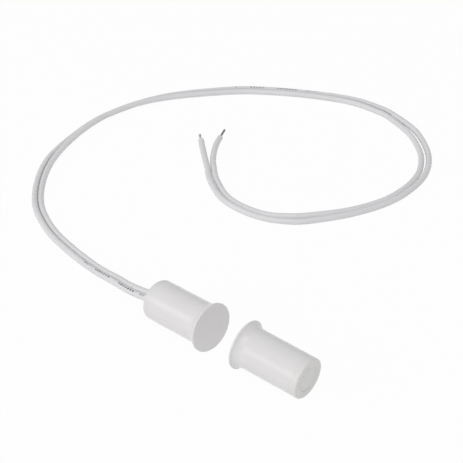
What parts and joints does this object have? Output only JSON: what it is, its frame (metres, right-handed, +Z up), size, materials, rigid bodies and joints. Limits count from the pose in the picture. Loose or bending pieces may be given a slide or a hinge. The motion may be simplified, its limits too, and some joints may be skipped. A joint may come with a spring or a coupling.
{
  "type": "recessed magnetic contact",
  "caption": "Recessed door or window contact: a flanged white reed switch barrel with a flat twin lead, and a matching flanged magnet barrel.",
  "frame": {"origin": "on the surface the part lies on, under the middle of the two halves together, without the lead", "axes": "+X from the switch half to the magnet half, +Z up, +Y to the side of the lead's loop"},
  "size_m": [0.1133, 0.1076, 0.0115],
  "materials": {
    "housing": "satin moulded ABS",
    "rear_cap": "satin moulded ABS",
    "potting": "cast epoxy",
    "glass": "clear, slightly green",
    "reed": "plated nickel iron",
    "sleeve": "extruded tubing",
    "solder": "soft solder",
    "tinned_copper": "solder-dipped strands",
    "lead_pvc": "extruded soft PVC, slightly translucent",
    "magnet": "ground"
  },
  "bodies": {
    "root": {"switch_housing": "housing", "switch_rear_cap": "rear_cap", "switch_potting": "potting", "reed_glass": "glass", "reed_blade_front": "reed", "reed_blade_rear": "reed", "return_sleeve": "sleeve", "solder_joint_a": "solder", "solder_joint_b": "solder", "conductor_a": "tinned_copper", "conductor_b": "tinned_copper", "lead_tail": "lead_pvc", "magnet_housing": "housing", "magnet": "magnet", "magnet_adhesive": "potting", "magnet_rear_cap": "rear_cap", "twin_lead": "lead_pvc", "lead_a": "lead_pvc", "lead_b": "lead_pvc", "tinned_end_a": "tinned_copper", "tinned_end_b": "tinned_copper"}
  },
  "joints": []
}
